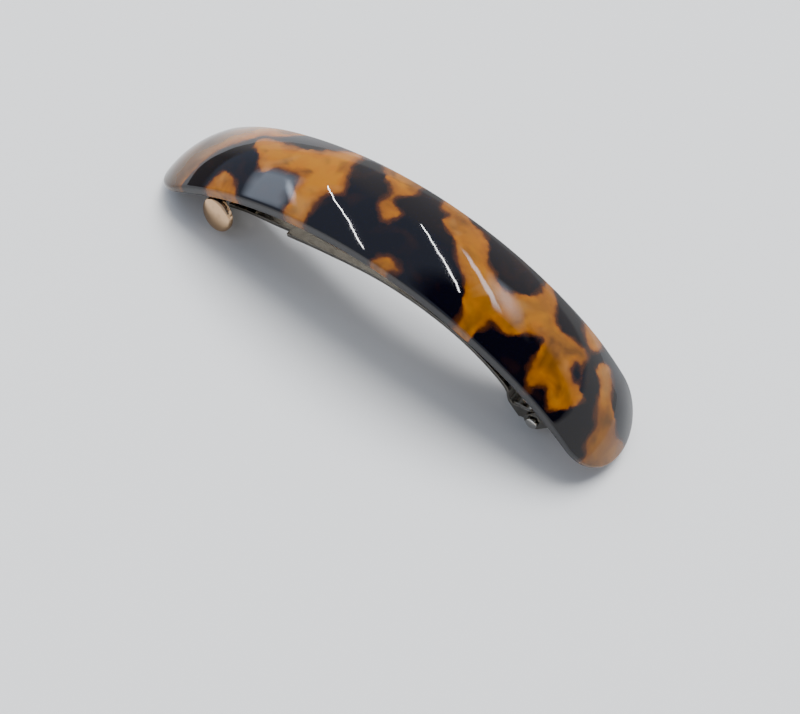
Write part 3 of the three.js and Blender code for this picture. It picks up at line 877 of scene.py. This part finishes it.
# Local Z leaves the outer face of a wing, and local Y runs up it.
def wingFrame(side):
    flare = pads["wingFlare"]
    up = Vector((0, -side * math.sin(flare), math.cos(flare)))
    outwards = Vector((0, side * math.cos(flare), math.sin(flare)))
    axes = Matrix((up.cross(outwards), up, outwards)).transposed().to_4x4()
    across = pads["wingTop"] + (pads["depth"] - pads["webDepth"]) * math.tan(flare)
    place = Matrix.Translation((0, side * across, -pads["depth"]))
    return archFrame(arch["catchArc"]) @ place @ axes


def padProfile():
    radius, stud = pads["radius"], pads["studRadius"]
    half = pads["wingThickness"] / 2
    back = half + pads["gap"]
    shoulder = back + pads["rim"]
    backEdge, frontEdge = pads["backEdge"], pads["frontEdge"]
    studEnd = -half - pads["studReach"]
    backSteps, frontSteps = pads["edgeSteps"]
    profile = [(0, studEnd), (pads["studFlat"], studEnd), (stud, studEnd + pads["studChamfer"])]
    profile.append((stud, back))
    profile += roundOver((radius - backEdge, back + backEdge), backEdge, -90, 0, backSteps)
    frontCentre = (radius - frontEdge, shoulder - frontEdge)
    profile += roundOver(frontCentre, frontEdge, 0, pads["frontTurn"], frontSteps)
    return profile + dome(radius - pads["domeInset"], shoulder, pads["dome"], pads["domeSteps"])


def makePads():
    for word, side in (("near", -1), ("far", 1)):
        mesh = lathe(f"finger_disc_{word}", padProfile(), pads["sides"])
        mesh.transform(wingFrame(side))
        mesh.materials.append(finishes["pale gold"])
        piece = newObject(f"finger_disc_{word}", mesh)
        finishPiece(piece, f"catch_lever_{word}", [f"finger_pad_{word}"])


makePads()
print("hinge pin and finger pads made")

# Studio: a pale floor, a soft sky that is bright near the horizon, two slim strips and soft panels

studio = {
    "floorSize": 3.0,
    "floorColour": (0.70, 0.70, 0.69),
    "floorRoughness": 0.8,
    "horizonGlow": (1.10, 1.10, 1.08),
    "catchSideGlow": (0.30, 0.27, 0.24),  # the horizon beyond the catch end is dim
    "catchSideEdge": (0.72, 0.92),  # cosines of the angles from -X, outside and inside
    "ceiling": (0.51, 0.58, 0.72),
    "darkCorner": (0.012, 0.012, 0.018),
    "farSide": (0.72, 0.68, 0.67),
    "farSideEdge": (0.56, 0.70),  # cosines of the angles from +Y, outside and inside
    "cornerDirection": (0.50, -0.12, 0.86),
    "cornerEdge": (0.79, 0.88),  # cosines of the angles from its middle, outside and inside
    "glowTop": 0.15,  # sine of the elevation where the glow ends, which is higher towards the hinge end
    "glowRise": 0.5,
    "glowBlur": 0.022,
    "fillStrength": 4.4,
    "fillSpread": math.radians(42),
    "fillFrom": (-0.12, 0.45, 1),
    "stripHeight": 1.2,
    "panelTint": (0.74, 0.84, 1.0),
    "lamps": {  # from one end to the other, as shares of the height, with width, radiance and fade
        "strip_left": ((-0.97, 0.66), (-0.38, -0.18), 0.0075, 150, 0.02),
        "strip_middle": ((-0.30, 0.84), (0.14, 0.08), 0.0075, 150, 0.02),
        "panel_right_edge": ((-0.04, 0.98), (0.37, 0.26), 0.075, 13, 0.22),
        "panel_right": ((0.26, 1.06), (0.46, 0.24), 0.36, 5.5, 0.4),
        "panel_catch_edge": ((-1.38, 0.52), (-1.04, -0.08), 0.10, 10, 0.4),
        "panel_catch": ((-1.58, 0.85), (-1.44, -0.45), 0.62, 4.2, 0.25),
    },
}


def addFloor():
    half = studio["floorSize"] / 2
    mesh = bpy.data.meshes.new("floor")
    corners = [(-half, -half, 0), (half, -half, 0), (half, half, 0), (-half, half, 0)]
    mesh.from_pydata(corners, [], [(0, 1, 2, 3)])
    floor = newObject("floor", mesh)
    colour = (*studio["floorColour"], 1)
    material = newMaterial("floor", **{"Base Color": colour, "Roughness": studio["floorRoughness"]})[0]
    mesh.materials.append(material)


def addSky():
    world = bpy.data.worlds.new("studio sky")
    bpy.context.scene.world = world
    world.use_nodes = True
    tree = world.node_tree
    direction = tree.nodes.new("ShaderNodeTexCoord").outputs["Generated"]
    split = tree.nodes.new("ShaderNodeSeparateXYZ")
    link(tree, direction, split.inputs[0])
    towardsHinge = mathNode(tree, "MAXIMUM", split.outputs["X"], 0)
    rise = mathNode(tree, "MULTIPLY", mathNode(tree, "POWER", towardsHinge, 2), studio["glowRise"])
    edge = mathNode(tree, "ADD", rise, studio["glowTop"])
    above = mathNode(tree, "SUBTRACT", split.outputs["Z"], edge)
    middle = tree.nodes.new("ShaderNodeVectorMath")
    middle.operation = "DOT_PRODUCT"
    middle.inputs[1].default_value = Vector(studio["cornerDirection"]).normalized()
    link(tree, direction, middle.inputs[0])
    corner = remap(tree, middle.outputs["Value"], *studio["cornerEdge"])
    farSide = remap(tree, split.outputs["Y"], *studio["farSideEdge"])
    ceiling = mixColours(tree, farSide, studio["ceiling"], studio["farSide"])
    ceiling = mixColours(tree, corner, ceiling, studio["darkCorner"])
    inCeiling = remap(tree, above, -studio["glowBlur"], studio["glowBlur"])
    catchSide = remap(tree, mathNode(tree, "MULTIPLY", split.outputs["X"], -1.0), *studio["catchSideEdge"])
    horizon = mixColours(tree, catchSide, studio["horizonGlow"], studio["catchSideGlow"])
    sky = mixColours(tree, inCeiling, horizon, ceiling)
    link(tree, sky, tree.nodes["Background"].inputs["Color"])


# A lamp fades towards its edges as a softbox does, over this share of its size.
def fadeEdges(lamp, fade):
    lamp.use_nodes = True
    tree = lamp.node_tree
    split = tree.nodes.new("ShaderNodeSeparateXYZ")
    link(tree, tree.nodes.new("ShaderNodeNewGeometry").outputs["Parametric"], split.inputs[0])
    level = 1
    for axis in ("X", "Y"):
        inwards = mathNode(tree, "PINGPONG", split.outputs[axis], 0.5)
        rise = remap(tree, inwards, 0, fade)
        level = mathNode(tree, "MULTIPLY", rise, level)
    link(tree, level, tree.nodes["Emission"].inputs["Strength"])


def addLamp(name, start, end, width, radiance, fade):
    height = studio["stripHeight"]
    start = Vector((*start, 1)) * height
    end = Vector((*end, 1)) * height
    along = (end - start).normalized()
    middle = (start + end) / 2
    back = (middle - along * middle.dot(along)).normalized()  # from the bar towards the lamp
    axes = Matrix((along.cross(back), along, back)).transposed().to_4x4()
    lamp = bpy.data.lights.new(name, "AREA")
    lamp.shape = "RECTANGLE"
    lamp.size = width
    lamp.size_y = (end - start).length
    lamp.energy = radiance * math.pi * lamp.size * lamp.size_y
    if name.startswith("panel"):
        lamp.color = studio["panelTint"]
    fadeEdges(lamp, fade)
    newObject(name, lamp).matrix_world = Matrix.Translation(middle) @ axes


def addFill():
    lamp = bpy.data.lights.new("soft_fill", "SUN")
    lamp.energy = studio["fillStrength"]
    lamp.angle = studio["fillSpread"]
    fill = newObject("soft_fill", lamp)
    fill.matrix_world = Vector(studio["fillFrom"]).to_track_quat("Z", "Y").to_matrix().to_4x4()
    fill.visible_glossy = False


addFloor()
addSky()
addFill()
for name, settings in studio["lamps"].items():
    addLamp(name, *settings)
print("studio ready")
